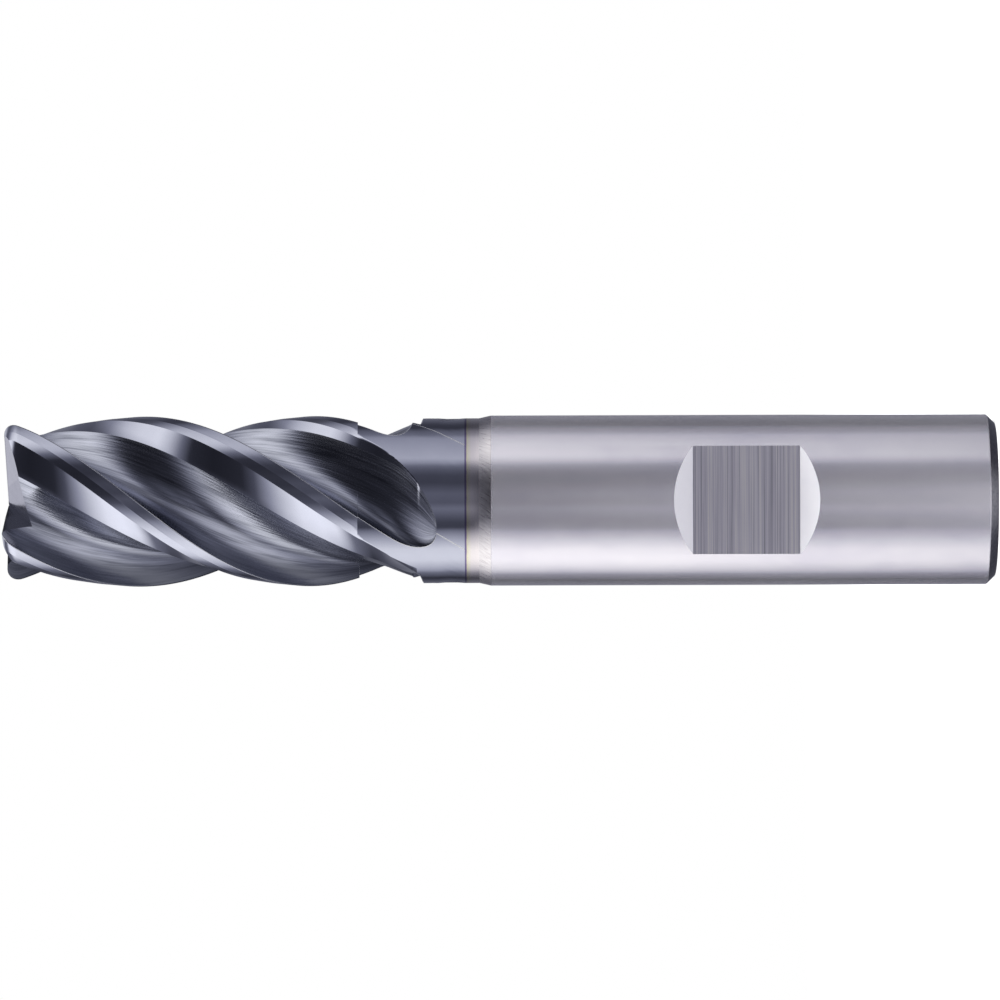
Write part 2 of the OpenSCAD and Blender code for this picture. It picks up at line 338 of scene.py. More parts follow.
class Surface:
    """The head as a grid of rings and columns, with a normal for each side of each crease."""

    def __init__(self):
        self.s = depths()
        self.points = np.array([ring(s) for s in self.s])
        self.kinds = np.array(column_kinds())
        self.steps = self.s[:-1] == LAND_LENGTH
        self.across = self.stretch()
        self.normals = self.find_normals()

    def stretch(self):
        """Distance along one ring to each column and, last, all the way round."""
        middle = self.points[len(self.s) // 3]
        lengths = np.linalg.norm(np.roll(middle, -1, 0) - middle, axis=1)
        return np.concatenate([[0], np.cumsum(lengths)])

    def radii(self, j, c, d):
        """Radii at the corners of the patch below ring j, between columns c and d."""
        return np.linalg.norm(self.points[j : j + 2][:, [c, d], :2], axis=2)

    def is_step(self, j, c, d):
        """Whether that patch is part of the step where the lands end."""
        if not self.steps[j]:
            return False
        upper, lower = self.radii(j, c, d)
        return np.abs(upper - lower).max() > MIN_STEP

    def is_round(self, j, c, d):
        """Whether that patch lies on the neck cylinder."""
        return self.radii(j, c, d).min() > NECK_R - ROUND_TOLERANCE

    def find_normals(self):
        """Normals by [ring, column, above or below the ring, before or after the column]."""
        p = self.points
        after = np.roll(p, -1, 1) - p
        after /= np.maximum(np.linalg.norm(after, axis=2, keepdims=True), 1e-9)
        before = np.roll(after, 1, 1)
        sharp = np.array([is_crease(c) for c in range(N_COLUMNS)])[None, :, None]
        mean = before + after
        sides = [np.where(sharp, before, mean), np.where(sharp, after, mean)]
        below = np.diff(p, axis=0)
        below /= np.linalg.norm(below, axis=2, keepdims=True)
        above = np.concatenate([below[:1], below])
        below = np.concatenate([below, below[-1:]])
        stepped = np.zeros(len(p), bool)
        stepped[:-1] |= self.steps
        stepped[1:] |= self.steps
        stepped = stepped[:, None, None]
        along = above + below
        ends = [np.where(stepped, above, along), np.where(stepped, below, along)]
        normals = np.zeros((*p.shape[:2], 2, 2, 3))
        for e in range(2):
            for c in range(2):
                n = np.cross(sides[c], ends[e])
                normals[:, :, e, c] = n / np.maximum(np.linalg.norm(n, axis=2, keepdims=True), 1e-9)
        return normals


def new_object(name, mesh, materials):
    piece = bpy.data.objects.new(name, mesh)
    bpy.context.scene.collection.objects.link(piece)
    for m in materials:
        mesh.materials.append(m)
    return piece


# Names of the mesh's layers: millimetres along and across the flutes, normals worked out from
# the surface, and how much painted shade the rake face has, which is a painted highlight on the
# land's first strip
GROUND_UV = "Ground"
EXACT_NORMAL = "exact_normal"
RAKE_SHADE = "rake_shade"
SHARP_ANGLE = math.radians(25)


class Builder:
    """Gathers the faces of one closed piece with their kinds, UVs, normals and rake shades."""

    def __init__(self):
        self.points, self.index = [], {}
        self.faces, self.kinds, self.uvs, self.normals, self.shades = [], [], [], [], []

    def point(self, key, position):
        if key not in self.index:
            self.index[key] = len(self.points)
            self.points.append(np.asarray(position) * MM)
        return self.index[key]

    def face(self, corners, kind, uvs=None, normals=None, shades=None):
        self.faces.append(corners)
        self.kinds.append(kind)
        self.uvs.append(uvs or [(0, 0)] * len(corners))
        self.normals.append(normals or [(0, 0, 0)] * len(corners))
        self.shades += shades or [0.0] * len(corners)

    def grid(self, surface, rings, columns):
        """Outer faces between these rings and columns, seen from outside."""
        p, n, s = surface.points, surface.normals, surface.s
        for j in rings:
            for c in columns:
                d = (c + 1) % N_COLUMNS
                corners = (j, c), (j, d), (j + 1, d), (j + 1, c)
                ids = [self.point((r, k), p[r, k]) for r, k in corners]
                u0, u1 = surface.across[c], surface.across[c + 1]
                uvs = [(s[j], u0), (s[j], u1), (s[j + 1], u1), (s[j + 1], u0)]
                normals = [n[j, c, 1, 1], n[j, d, 1, 0], n[j + 1, d, 0, 0], n[j + 1, c, 0, 1]]
                kind = surface.kinds[c]
                if s[j] > LAND_LENGTH and surface.is_round(j, c, d):
                    kind = LAND
                    normals = [p[r, k] * (1, 1, 0) / NECK_R for r, k in corners]
                if surface.is_step(j, c, d):
                    kind, normals = STEP, None
                # Painted shade on the rake face; on the land's first strip the same value paints a
                # highlight at the edge
                shades = [rake_shade(c), rake_shade(c + 1)]
                self.face(ids, kind, uvs, normals, shades + shades[::-1])

    def object(self, name, materials):
        mesh = bpy.data.meshes.new(name)
        mesh.from_pydata([tuple(p) for p in self.points], [], self.faces)
        mesh.polygons.foreach_set("material_index", self.kinds)
        uvs = np.array([uv for face in self.uvs for uv in face], np.float32)
        mesh.uv_layers.new(name=GROUND_UV).uv.foreach_set("vector", uvs.ravel())
        mesh.attributes.new(RAKE_SHADE, "FLOAT", "CORNER").data.foreach_set("value", self.shades)
        normals = np.array([n for face in self.normals for n in face], np.float32)
        exact = mesh.attributes.new(EXACT_NORMAL, "FLOAT_VECTOR", "CORNER")
        exact.data.foreach_set("vector", normals.ravel())
        return new_object(name, mesh, materials)


def shade(piece):
    """Exact normals where a corner has one, flat inner and end faces, smooth for the rest."""
    mesh = piece.data
    kinds = np.zeros(len(mesh.polygons), np.int32)
    mesh.polygons.foreach_get("material_index", kinds)
    mesh.polygons.foreach_set("use_smooth", [True] * len(kinds))
    mesh.set_sharp_from_angle(angle=SHARP_ANGLE)
    exact = mesh.attributes[EXACT_NORMAL]
    normals = np.zeros(len(mesh.loops) * 3, np.float32)
    exact.data.foreach_get("vector", normals)
    normals = normals.reshape(-1, 3)
    lengths = np.linalg.norm(normals, axis=1, keepdims=True)
    normals = np.where(lengths > 0.5, normals / np.maximum(lengths, 1e-9), 0)
    for face in mesh.polygons:
        if kinds[face.index] in (INNER, END):
            normals[list(face.loop_indices)] = face.normal
    mesh.attributes.remove(exact)
    mesh.normals_split_custom_set([tuple(n) for n in normals])


# Cosine above which a wall of a gash counts as facing straight ahead of its end edge
FACING_AHEAD = 0.95


def paint_end_rake_shade(piece):
    """Gives the gash walls under the end edges the rake face's painted shade."""
    shades = piece.data.attributes[RAKE_SHADE].data
    for a in np.radians(EDGE_START):
        ahead = Vector((math.cos(a), -math.sin(a), 0))
        for face in piece.data.polygons:
            if face.material_index == END and face.normal.dot(ahead) > FACING_AHEAD:
                for k in face.loop_indices:
                    shades[k].value = 1


def ring_at(surface, s):
    return int(np.argmin(np.abs(surface.s - s)))


def tooth_columns(i):
    first = i * (N_TOOTH + N_WEB)
    return list(range(first, first + N_TOOTH))


def web_columns(i):
    first = i * (N_TOOTH + N_WEB) + N_TOOTH
    return list(range(first, first + N_WEB))


# ------------------------------------------------------------------ pieces of the head


def section_cap(builder, surface, j, up):
    """Inner face across the whole head at ring j, seen from above when up is true."""
    s = surface.s[j]
    centre = builder.point(("centre", j), (0, 0, TIP_Z - s))
    for i in range(TEETH):
        hub = builder.point(("hub", i, j), root_middle(i, s))
        tooth = [builder.point((j, c), surface.points[j, c]) for c in tooth_columns(i)]
        web = [builder.point((j, c), surface.points[j, c]) for c in web_columns(i)]
        after = builder.point((j, (web_columns(i)[-1] + 1) % N_COLUMNS), (0, 0, 0))
        corners = [(hub, a, b) for a, b in zip(tooth, tooth[1:] + web[:1])]
        corners += [(centre, tooth[0], hub), (centre, hub, web[0])]
        corners += [(centre, a, b) for a, b in zip(web, web[1:] + [after])]
        for a, b, c in corners:
            builder.face([a, c, b] if up else [a, b, c], INNER)


def whole_piece(name, surface, first, last, materials):
    """Everything between rings first and last: the end teeth, or the neck."""
    builder = Builder()
    builder.grid(surface, range(first, last), range(N_COLUMNS))
    section_cap(builder, surface, first, True)
    section_cap(builder, surface, last, False)
    return builder.object(name, materials)


def tooth_piece(name, surface, i, first, last, materials):
    builder = Builder()
    columns = tooth_columns(i)
    builder.grid(surface, range(first, last), columns)
    root = columns[0], (columns[-1] + 1) % N_COLUMNS
    hubs = [builder.point(("hub", j), root_middle(i, surface.s[j])) for j in range(first, last + 1)]
    sides = [[builder.point((j, c), (0, 0, 0)) for j in range(first, last + 1)] for c in root]
    for k in range(last - first):
        builder.face([hubs[k], sides[0][k], sides[0][k + 1], hubs[k + 1]], INNER)
        builder.face([sides[1][k], hubs[k], hubs[k + 1], sides[1][k + 1]], INNER)
    for j, hub, turn in ((first, hubs[0], -1), (last, hubs[-1], 1)):
        outline = [builder.point((j, c), (0, 0, 0)) for c in columns + [root[1]]]
        for a, b in zip(outline, outline[1:]):
            builder.face([hub, a, b][::turn], INNER)
    return builder.object(name, materials)


def web_piece(name, surface, first, last, materials):
    builder = Builder()
    loops = []
    for j in range(first, last + 1):
        loop = []
        for i in range(TEETH):
            heel = web_columns(i)[0]
            start = tooth_columns(i)[0]
            loop.append(builder.point((j, start), surface.points[j, start]))
            loop.append(builder.point(("hub", i, j), root_middle(i, surface.s[j])))
            loop.append(builder.point((j, heel), surface.points[j, heel]))
            loop += [builder.point((j, c), surface.points[j, c]) for c in web_columns(i)[1:]]
        loops.append(loop)
    for i in range(TEETH):
        builder.grid(surface, range(first, last), web_columns(i))
    for upper, lower in zip(loops, loops[1:]):
        for i in range(TEETH):
            k = i * (N_WEB + 2)
            for a in (k, k + 1):
                builder.face([upper[a], upper[a + 1], lower[a + 1], lower[a]], INNER)
    for loop, j, turn in ((loops[0], first, -1), (loops[-1], last, 1)):
        hub = builder.point(("centre", j), (0, 0, TIP_Z - surface.s[j]))
        for a, b in zip(loop, loop[1:] + loop[:1]):
            builder.face([hub, a, b][::turn], INNER)
    return builder.object(name, materials)


# Cutters run this far out from the axis and up past the tip
RELIEF_OUT, RELIEF_UP = 14, 8
GASH_OUT, GASH_UP = 11, 2
# A relief cutter spans from FRONT_OVERLAP degrees ahead of its end edge to REAR_GAP short of the
# next one, with RIM_CORNERS on the way, and its inner corner lies RELIEF_HUB past the axis. Each
# cutter's sides have a margin of their own, because the boolean failed on sides in one plane.
FRONT_OVERLAP, REAR_GAP, RELIEF_HUB = 3, 2, 0.3
RIM_CORNERS = 0.33, 0.67
MARGIN_BY_SLOPE, MARGIN_BY_TOOTH, MARGIN_AT_HUB = 0.03, 0.05, 0.05
# Where a gash starts, off the axis and below the tip, and the lean and overlap of its wall
GASH_START, GASH_DEPTH, GASH_LEAN, GASH_FRONT = 0.25, 0.35, 0.08, 0.1


def edge_frame(i, x, y, z):
    """A point given along, ahead of and above end edge i, in the row frame in millimetres."""
    a = math.radians(EDGE_START[i])
    return Vector((-x * math.sin(a) + y * math.cos(a), -x * math.cos(a) - y * math.sin(a), z))


def hull_cutter(name, points):
    """A convex cutter through these points."""
    cutter = bmesh.new()
    for p in points:
        cutter.verts.new(Vector(p) * MM)
    bmesh.ops.convex_hull(cutter, input=cutter.verts)
    mesh = bpy.data.meshes.new(name)
    cutter.to_mesh(mesh)
    cutter.free()
    return new_object(name, mesh, [])


def relief_cutter(i, slope, back):
    """Space above the end relief that falls away behind a line `back` behind end edge i."""
    ahead = (EDGE_START[(i + 1) % TEETH] - EDGE_START[i]) % 360
    pivot_x = CUT_R - CORNER_R
    pivot_z = TIP_Z - back * math.tan(math.radians(END_RELIEF))
    points = []
    margin = MARGIN_BY_SLOPE * slope + MARGIN_BY_TOOTH * i
    between = [-ahead * part for part in RIM_CORNERS]
    turns = [FRONT_OVERLAP - margin, *between, REAR_GAP - ahead + margin]
    turns = [math.radians(turn) for turn in turns]
    rim = [(RELIEF_OUT * math.cos(turn), RELIEF_OUT * math.sin(turn)) for turn in turns]
    middle = math.radians((FRONT_OVERLAP + REAR_GAP - ahead) / 2)
    hub = -RELIEF_HUB - MARGIN_AT_HUB * margin
    for x, y in [*rim, (hub * math.cos(middle), hub * math.sin(middle))]:
        z = pivot_z + math.tan(math.radians(DISH)) * (x - pivot_x)
        z += math.tan(math.radians(slope)) / math.cos(math.radians(DISH)) * (y + back)
        points += [edge_frame(i, x, y, z), edge_frame(i, x, y, TIP_Z + RELIEF_UP)]
    return hull_cutter("relief_cutter", points)


def gash_cutter(i):
    """The gash in front of end edge i: one wall under the edge, one sloping wall facing it."""
    low = GASH_DEPTH + GASH_OUT * math.tan(math.radians(GASH_SLOPE))
    wide = math.tan(math.radians(GASH_OPENING))
    corners = [(GASH_START, 0, -GASH_DEPTH), (GASH_OUT, -low * GASH_LEAN, -low),
               (GASH_START, GASH_FRONT, GASH_UP), (GASH_OUT, GASH_FRONT, GASH_UP),
               (GASH_START, (GASH_DEPTH + GASH_UP) * wide, GASH_UP),
               (GASH_OUT, (low + GASH_UP) * wide, GASH_UP)]
    return hull_cutter("gash_cutter", [edge_frame(i, x, y, TIP_Z + z) for x, y, z in corners])


def carve(piece, cutter, kind):
    """Subtracts the cutter, whose faces take material slot `kind`, and deletes it."""
    for _ in range(kind + 1):
        cutter.data.materials.append(piece.data.materials[kind])
    cutter.data.polygons.foreach_set("material_index", [kind] * len(cutter.data.polygons))
    cut = piece.modifiers.new("cut", "BOOLEAN")
    cut.operation = "DIFFERENCE"
    cut.solver = "EXACT"
    cut.material_mode = "INDEX"
    cut.object = cutter
    graph = bpy.context.evaluated_depsgraph_get()
    mesh = bpy.data.meshes.new_from_object(
        piece.evaluated_get(graph), preserve_all_data_layers=True, depsgraph=graph)
    piece.modifiers.clear()
    piece.data = mesh
    bpy.data.objects.remove(cutter)


# ------------------------------------------------------------------ turned pieces

# How far the space above the flat goes past the shank
FLAT_CUT_OUT = 2


def rounded(outline, radius, steps=3):
    """An outline of (r, z) corners with each inner corner turned into a small arc."""
    points = [outline[0]]
    for before, corner, after in zip(outline, outline[1:], outline[2:]):
        p = Vector(corner)
        u, v = (Vector(before) - p).normalized(), (Vector(after) - p).normalized()
        for k in range(steps + 1):
            t = k / steps
            points.append(tuple(p + radius * ((1 - t) ** 2 * u + t * t * v)))
    return points + [outline[-1]]


def turned(name, outline, materials, segments=256):
    """A closed solid of revolution about Z. The outline runs from the axis to the axis, upwards."""
    mesh = bmesh.new()
    turns = [2 * math.pi * k / segments for k in range(segments)]
    rings = []
    for r, z in outline[1:-1]:
        places = [(r * math.cos(a) * MM, r * math.sin(a) * MM, z * MM) for a in turns]
        rings.append([mesh.verts.new(p) for p in places])
    low = mesh.verts.new((0, 0, outline[0][1] * MM))
    high = mesh.verts.new((0, 0, outline[-1][1] * MM))
    for k in range(segments):
        n = (k + 1) % segments
        mesh.faces.new((low, rings[0][n], rings[0][k]))
        mesh.faces.new((high, rings[-1][k], rings[-1][n]))
        for lower, upper in zip(rings, rings[1:]):
            mesh.faces.new((lower[k], lower[n], upper[n], upper[k]))
    data = bpy.data.meshes.new(name)
    mesh.to_mesh(data)
    mesh.free()
    return new_object(name, data, materials)


def smooth_turned(piece):
    piece.data.polygons.foreach_set("use_smooth", [True] * len(piece.data.polygons))
    piece.data.set_sharp_from_angle(angle=SHARP_ANGLE)


def flat_cutter():
    """Space above the clamping flat and its two ramps."""
    rise = math.tan(math.radians(FLAT_RAMP))
    reach = FLAT_CUT_OUT / rise + (SHANK_R - FLAT_HEIGHT) / rise
    low, high = FLAT_MIDDLE - FLAT_LENGTH / 2, FLAT_MIDDLE + FLAT_LENGTH / 2
    out = SHANK_R + FLAT_CUT_OUT
    profile = [(FLAT_HEIGHT, low), (FLAT_HEIGHT, high), (out, high + reach), (out, low - reach)]
    return hull_cutter("flat_cutter", [(x, -y, z) for y, z in profile for x in (-out, out)])


# ------------------------------------------------------------------ materials


class Nodes:
    """Short calls that add nodes to a tree. A socket is linked, any other value is set."""

    def __init__(self, tree):
        self.tree = tree
        tree.nodes.clear()

    def add(self, kind, inputs=None, **settings):
        node = self.tree.nodes.new(kind)
        for key, value in settings.items():
            setattr(node, key, value)
        for key, value in (inputs or {}).items():
            if isinstance(value, bpy.types.NodeSocket):
                self.tree.links.new(value, node.inputs[key])
            else:
                node.inputs[key].default_value = value
        return node

    def math(self, operation, a, b=0.0, c=0.0):
        return self.add("ShaderNodeMath", {0: a, 1: b, 2: c}, operation=operation).outputs[0]

    def linear(self, value, gain, base):
        """gain times value, plus base."""
        return self.math("MULTIPLY_ADD", value, gain, base)

    def ramp(self, factor, stops):
        node = self.add("ShaderNodeValToRGB", {0: factor})
        elements = node.color_ramp.elements
        while len(elements) < len(stops):
            elements.new(0.5)
        for element, (position, color) in zip(elements, stops):
            element.position = position
            element.color = (*color, 1)
        return node.outputs[0]

    def mapped(self, vector, scale, location=(0, 0, 0)):
        inputs = {"Vector": vector, "Scale": scale, "Location": location}
        return self.add("ShaderNodeMapping", inputs).outputs[0]

    def noise(self, vector, scale=1.0, detail=2.0, roughness=0.5):
        inputs = {"Vector": vector, "Scale": scale, "Detail": detail, "Roughness": roughness}
        return self.add("ShaderNodeTexNoise", inputs).outputs[0]

    def mix_color(self, factor, a, b):
        node = self.add("ShaderNodeMix", data_type="RGBA")
        for index, value in ((0, factor), (6, a), (7, b)):
            if isinstance(value, bpy.types.NodeSocket):
                self.tree.links.new(value, node.inputs[index])
            else:
                node.inputs[index].default_value = value if index == 0 else (*value, 1)
        return node.outputs[2]

    def bump(self, height, distance, normal=None):
        inputs = {"Height": height, "Distance": distance, "Strength": 1.0}
        if normal is not None:
            inputs["Normal"] = normal
        return self.add("ShaderNodeBump", inputs).outputs[0]

    def place(self):
        """The object's own coordinates, in metres."""
        return self.add("ShaderNodeTexCoord").outputs["Object"]

    def around(self):
        """Direction around the tool's axis."""
        return self.add("ShaderNodeTangent", direction_type="RADIAL", axis="Z").outputs[0]

    def rake_shade(self):
        return self.add("ShaderNodeAttribute", attribute_name=RAKE_SHADE).outputs["Fac"]


def metal(name, build, **sockets):
    """A metal with inputs linked to what build(nodes) returns, and sockets set on the shader."""
    material = bpy.data.materials.new(name)
    material.use_nodes = True
    nodes = Nodes(material.node_tree)
    shader = nodes.add("ShaderNodeBsdfPrincipled", {"Metallic": 1.0})
    for key, value in sockets.items():
        shader.inputs[key.replace("_", " ")].default_value = value
    for key, value in build(nodes).items():
        material.node_tree.links.new(value, shader.inputs[key])
    output = nodes.add("ShaderNodeOutputMaterial")
    material.node_tree.links.new(shader.outputs[0], output.inputs[0])
    return material


COATED = (0.60, 0.615, 0.72)
COATED_DULL = (0.44, 0.455, 0.53)
COATED_DARK = (0.26, 0.27, 0.33)
# Painted shade on the rake faces and on the gash walls under the end edges
PAINTED_RAKE_SHADE = (0.09, 0.095, 0.12)
# Painted highlight along the honed cutting edges
HONED_EDGE_HIGHLIGHT = (1.0, 1.0, 1.0)
FRINGE_LENGTH = 1.4


def blotches(n, place, low, high, scale):
    """Soft stains a few millimetres wide, between two colours."""
    return n.mix_color(n.noise(place, scale, detail=3.0, roughness=0.55), low, high)


def flute_look(n):
    """Long fine grinding streaks that follow the flute, over softer wide ones, and painted shade on
    the rake face.
    """
    uv = n.add("ShaderNodeUVMap", uv_map=GROUND_UV).outputs[0]
    fine = n.noise(n.mapped(uv, (0.22, 5.0, 1)), detail=2.5, roughness=0.6)
    wide = n.noise(n.mapped(uv, (0.12, 1.3, 1), (7, 3, 0)), detail=3.0)
    streaks = n.linear(wide, gain=0.5, base=n.math("MULTIPLY", fine, 0.5))
    # Painted shade: the rake face is mixed towards a dark colour
    rake = n.rake_shade()
    color = n.ramp(streaks, [(0.38, COATED_DARK), (0.47, COATED_DULL), (0.62, COATED)])
    color = n.mix_color(n.math("MULTIPLY", rake, 0.8), color, PAINTED_RAKE_SHADE)
    rough = n.linear(fine, gain=0.12, base=0.12)
    return {"Base Color": color, "Roughness": rough, "Normal": n.bump(streaks, 24e-6)}


def land_look(n):
    """The coated lands and neck: bright, with faint fine marks, a slow waviness and honed edges,
    which are rougher and carry a painted highlight.
    """
    place = n.place()
    marks = n.noise(n.mapped(place, (300, 300, 9000)), detail=3.0)
    wave = n.noise(place, scale=220.0, detail=1.0)
    normal = n.bump(marks, 0.15e-6, n.bump(wave, 3e-6))
    # Honed strip at the edge: rougher, and mixed towards white as a painted highlight
    honed_highlight = n.rake_shade()
    color = blotches(n, place, (0.56, 0.575, 0.68), (0.64, 0.655, 0.76), scale=400.0)
    rough = n.linear(honed_highlight, gain=0.5, base=n.linear(marks, gain=0.06, base=0.07))
    return {"Base Color": n.mix_color(honed_highlight, color, HONED_EDGE_HIGHLIGHT), "Roughness": rough, "Normal": normal}


def end_look(n):
    """Reliefs and gashes of the end teeth, with short marks and painted shade on the walls under
    the edges.
    """
    place = n.place()
    marks = n.noise(n.mapped(place, (9000, 1500, 1500)), detail=2.0)
    rough = n.linear(marks, gain=0.1, base=0.18)
    # Painted shade: the gash walls under the end edges are mixed towards a dark colour
    rake = n.rake_shade()
    color = blotches(n, place, (0.54, 0.54, 0.63), (0.64, 0.64, 0.74), scale=700.0)
    return {"Base Color": n.mix_color(rake, color, PAINTED_RAKE_SHADE), "Roughness": rough,
            "Normal": n.bump(marks, 0.4e-6)}


def band_look(n):
    """Bare carbide next to the coating: a violet, blue and straw fringe, then warm silver."""
    place = n.place()
    height = n.add("ShaderNodeSeparateXYZ", {0: place}).outputs[2]
    wobble = n.linear(n.noise(place, scale=900.0, detail=2.0), gain=0.0001, base=-0.00005)
    below = n.math("SUBTRACT", COATING_Z * MM, n.math("ADD", height, wobble))
    across = n.math("DIVIDE", below, FRINGE_LENGTH * MM)
    fringe = n.ramp(across, [
        (0.0, (0.16, 0.15, 0.30)),
        (0.09, (0.30, 0.24, 0.42)),
        (0.16, (0.88, 0.84, 0.62)),
        (0.30, (0.90, 0.85, 0.78)),
        (0.45, (0.92, 0.86, 0.87)),
    ])
    marks = n.noise(n.mapped(place, (300, 300, 9000)), detail=3.0)
    rough = n.linear(marks, gain=0.08, base=0.14)
    return {"Base Color": fringe, "Roughness": rough, "Normal": n.bump(marks, 0.35e-6)}


def bevel_look(n):
    """Bevel ground with short slanting marks."""
    place = n.place()
    parts = n.add("ShaderNodeSeparateXYZ", {0: place}).outputs
    turn = n.math("ARCTAN2", parts[1], parts[0])
    slant = n.linear(turn, gain=0.008, base=n.math("MULTIPLY", parts[2], -0.6))
    along = n.linear(turn, gain=0.0048, base=parts[2])
    across_marks, along_marks = n.math("MULTIPLY", slant, 5000.0), n.math("MULTIPLY", along, 700.0)
    vector = n.add("ShaderNodeCombineXYZ", {0: across_marks, 1: along_marks}).outputs[0]
    marks = n.noise(vector, detail=2.0, roughness=0.6)
    return {"Base Color": n.ramp(marks, [(0.3, (0.74, 0.70, 0.72)), (0.6, (0.96, 0.92, 0.93))]),
            "Roughness": n.linear(marks, gain=0.15, base=0.22), "Normal": n.bump(marks, 5e-6)}


def shank_look(n):
    """Round-ground shank: marks run round it, with faint stains and a slow waviness along it."""
    place = n.place()
    marks = n.noise(n.mapped(place, (60, 60, 12000)), detail=4.0, roughness=0.6)
    wave = n.noise(n.mapped(place, (260, 260, 60)), detail=1.0)
    stains = n.noise(n.mapped(place, (110, 110, 60)), detail=4.0, roughness=0.6)
    color = n.ramp(stains, [
        (0.35, (0.81, 0.78, 0.86)),
        (0.5, (0.88, 0.85, 0.91)),
        (0.66, (0.92, 0.89, 0.94)),
    ])
    rough = n.linear(marks, gain=0.05, base=0.2)
    tangent = n.around()
    return {"Base Color": color, "Roughness": rough, "Tangent": tangent,
            "Normal": n.bump(marks, 0.1e-6, n.bump(wave, 3e-6))}


def flat_look(n):
    """The clamping flat: straight grinding lines square to the tool's axis."""
    place = n.place()
    lines = n.noise(n.mapped(place, (25, 25, 9000)), detail=4.0, roughness=0.7)
    coarse = n.noise(n.mapped(place, (12, 12, 1500), (3, 1, 5)), detail=5.0, roughness=0.8)
    both = n.linear(coarse, gain=0.6, base=n.math("MULTIPLY", lines, 0.4))
    tangent = n.around()
    color = n.ramp(both, [
        (0.40, (0.46, 0.44, 0.53)),
        (0.5, (0.80, 0.77, 0.88)),
        (0.59, (1.0, 0.97, 1.0)),
    ])
    return {"Base Color": color, "Tangent": tangent,
            "Roughness": n.linear(lines, gain=0.15, base=0.34), "Normal": n.bump(both, 2.5e-6)}


def ramp_look(n):
    """The two ramps of the flat: pale, with a fine grain."""
    place = n.place()
    grain = n.noise(place, scale=9000.0, detail=2.0)
    return {"Base Color": blotches(n, place, (0.84, 0.83, 0.88), (0.92, 0.91, 0.94), scale=500.0),
            "Roughness": n.linear(grain, gain=0.08, base=0.36)}


def chamfer_painted_shade_look(n):
    """The chamfer and end face of the shank, darker than the shank: painted shade where it meets
    the floor.
    """
    place = n.place()
    marks = n.noise(place, scale=4000.0, detail=3.0)
    return {"Base Color": n.ramp(marks, [(0.35, (0.28, 0.28, 0.31)), (0.65, (0.40, 0.39, 0.42))]),
            "Roughness": n.linear(marks, gain=0.12, base=0.24), "Normal": n.bump(marks, 1.5e-6)}


flute_coat = metal("coated_flute", flute_look)
land_coat = metal("coated_land", land_look)
end_coat = metal("coated_end", end_look)
band_carbide = metal("bare_band", band_look)
bevel_carbide = metal("bare_bevel", bevel_look)
# The shader's blur lies along the axis, as on metal ground round and round
GROUND_ROUND = {"Anisotropic": 1.0, "Anisotropic_Rotation": 0.25}
shank_carbide = metal("bare_shank", shank_look, Metallic=0.9, **GROUND_ROUND)
flat_carbide = metal("bare_flat", flat_look, Metallic=0.96, **GROUND_ROUND)
ramp_carbide = metal("bare_ramp", ramp_look, Metallic=0.75)
# Painted shade: the shank's chamfer and end face are coloured darker than the shank
chamfer_carbide_painted_shade = metal("bare_chamfer_painted_shade", chamfer_painted_shade_look)


# ------------------------------------------------------------------ build the tool

# By kind of face: FLUTE, LAND, STEP, INNER, END
HEAD_MATERIALS = [flute_coat, land_coat, land_coat, flute_coat, end_coat]
surface = Surface()
tip_ring, end_ring = 0, ring_at(surface, END_DEPTH)
land_ring, last_ring = ring_at(surface, LAND_LENGTH), len(surface.s) - 1


def stand_for(piece, material_slot, *nodes):
    """Has the piece stand for these CAD nodes, attached to the root body in their place.
    material_slot is not used.
    """
    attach(piece, "root")
    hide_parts(*nodes)


end_piece = whole_piece("ground_end_teeth", surface, tip_ring, end_ring, HEAD_MATERIALS)
for i in range(TEETH):
    carve(end_piece, relief_cutter(i, END_RELIEF, 0), END)
    carve(end_piece, relief_cutter(i, END_BACK_RELIEF, END_LAND), END)
for i in range(TEETH):
    carve(end_piece, gash_cutter(i), END)
paint_end_rake_shade(end_piece)
shade(end_piece)
stand_for(end_piece, "coating", "end_teeth")

for i in range(TEETH):
    tooth = tooth_piece(f"ground_tooth_{i + 1}", surface, i, end_ring, land_ring, HEAD_MATERIALS)
    shade(tooth)
    stand_for(tooth, "coating", f"tooth_{i + 1}")

web = web_piece("ground_web", surface, end_ring, land_ring, HEAD_MATERIALS)
shade(web)
stand_for(web, "web_coating", "cutting_web")

neck = whole_piece("ground_neck", surface, land_ring, last_ring, HEAD_MATERIALS)
shade(neck)
stand_for(neck, "coating", "fluted_neck")

# Material slots of the turned pieces
BAND, BEVEL = range(2)
SIDE, SHANK_END, FLAT, RAMP = range(4)
# How far from a corner of the shank its small arc starts
ROUNDING = 0.05
# The centre of a region's face is further than this from the region's border, or than three
# times this where the border is rounded
BORDER = 0.01
# A face of the flat's cut that leans this far from the axis is a ramp
RAMP_LEAN = 0.3

band = turned("bare_neck_band", [(0, SHANK_TOP), (SHANK_R, SHANK_TOP), (NECK_R, BEVEL_Z),
                                 (NECK_R, COATING_Z), (0, COATING_Z)],
              [band_carbide, bevel_carbide])
for face in band.data.polygons:
    if SHANK_TOP < face.center.z / MM < BEVEL_Z - BORDER:
        face.material_index = BEVEL
smooth_turned(band)
stand_for(band, "ground_carbide", "neck_band")

outline = [(0, 0), (SHANK_R - CHAMFER, 0), (SHANK_R, CHAMFER), (SHANK_R, SHANK_TOP),
           (0, SHANK_TOP)]
shank = turned("ground_shank", rounded(outline, ROUNDING),
               [shank_carbide, chamfer_carbide_painted_shade, flat_carbide, ramp_carbide])
